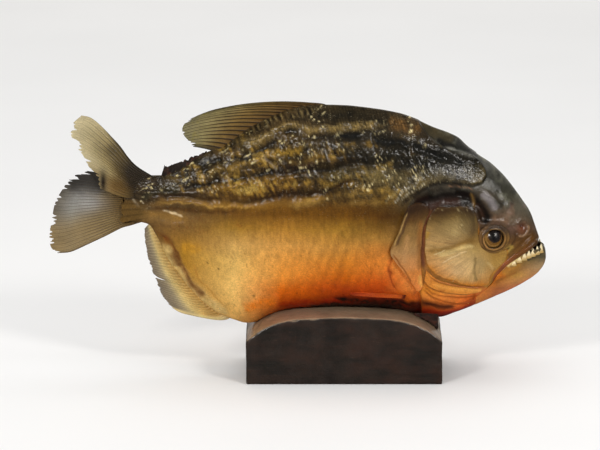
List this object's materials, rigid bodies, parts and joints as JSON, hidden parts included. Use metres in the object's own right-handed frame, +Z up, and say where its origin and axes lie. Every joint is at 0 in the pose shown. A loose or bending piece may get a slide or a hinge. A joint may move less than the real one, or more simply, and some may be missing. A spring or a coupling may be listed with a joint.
{
  "type": "mounted fish specimen",
  "caption": "Dried, varnished piranha set side-on on a dark wooden block with an arched top, with glass eyes, bared teeth and dried fins; stands free on its flat underside.",
  "frame": {"origin": "centre of the wooden block's flat underside", "axes": "+Z up, +X towards the fish's snout, -Y towards the fish's right flank, the side it is shown from"},
  "size_m": [0.2536, 0.05, 0.1419],
  "materials": {
    "painted_wood": "thin dark brown-black paint, hand-brushed, chipped edges",
    "screw_steel": "plain zinc-plated",
    "raw_wood": "sawn softwood",
    "stuffing": "packed fibre and sawdust",
    "varnished_skin": "dried scaled fish skin under glossy varnish",
    "varnished_head_skin": "dried smooth skin over bone under glossy varnish",
    "varnished_bone": "thin striated bone plate under glossy varnish",
    "tooth": "polished enamel",
    "eye_glass": "clear cast glass over a painted iris",
    "fin_membrane": "dried fin membrane on bony rays, varnished",
    "filler": "rough dark filler"
  },
  "bodies": {
    "root": {"base_block": "painted_wood", "base_screws": "screw_steel", "mounting_batten": "raw_wood", "body_filling": "stuffing", "trunk_skin": "varnished_skin", "skull": "varnished_head_skin", "cheek_plate_right": "varnished_bone", "cheek_plate_left": "varnished_bone", "preopercle_right": "varnished_bone", "preopercle_left": "varnished_bone", "gill_cover_right": "varnished_bone", "gill_cover_left": "varnished_bone", "throat_skin": "varnished_skin", "upper_jaw": "varnished_head_skin", "lower_jaw": "varnished_head_skin", "upper_teeth": "tooth", "lower_teeth": "tooth", "eye_right": "eye_glass", "eye_left": "eye_glass", "eye_ring_right": "varnished_head_skin", "eye_ring_left": "varnished_head_skin", "dorsal_fin": "fin_membrane", "adipose_fin": "fin_membrane", "anal_fin": "fin_membrane", "tail_fin_upper": "fin_membrane", "tail_fin_lower": "fin_membrane", "pectoral_fin_right": "fin_membrane", "pectoral_fin_left": "fin_membrane", "filler_bed": "filler"}
  },
  "joints": []
}
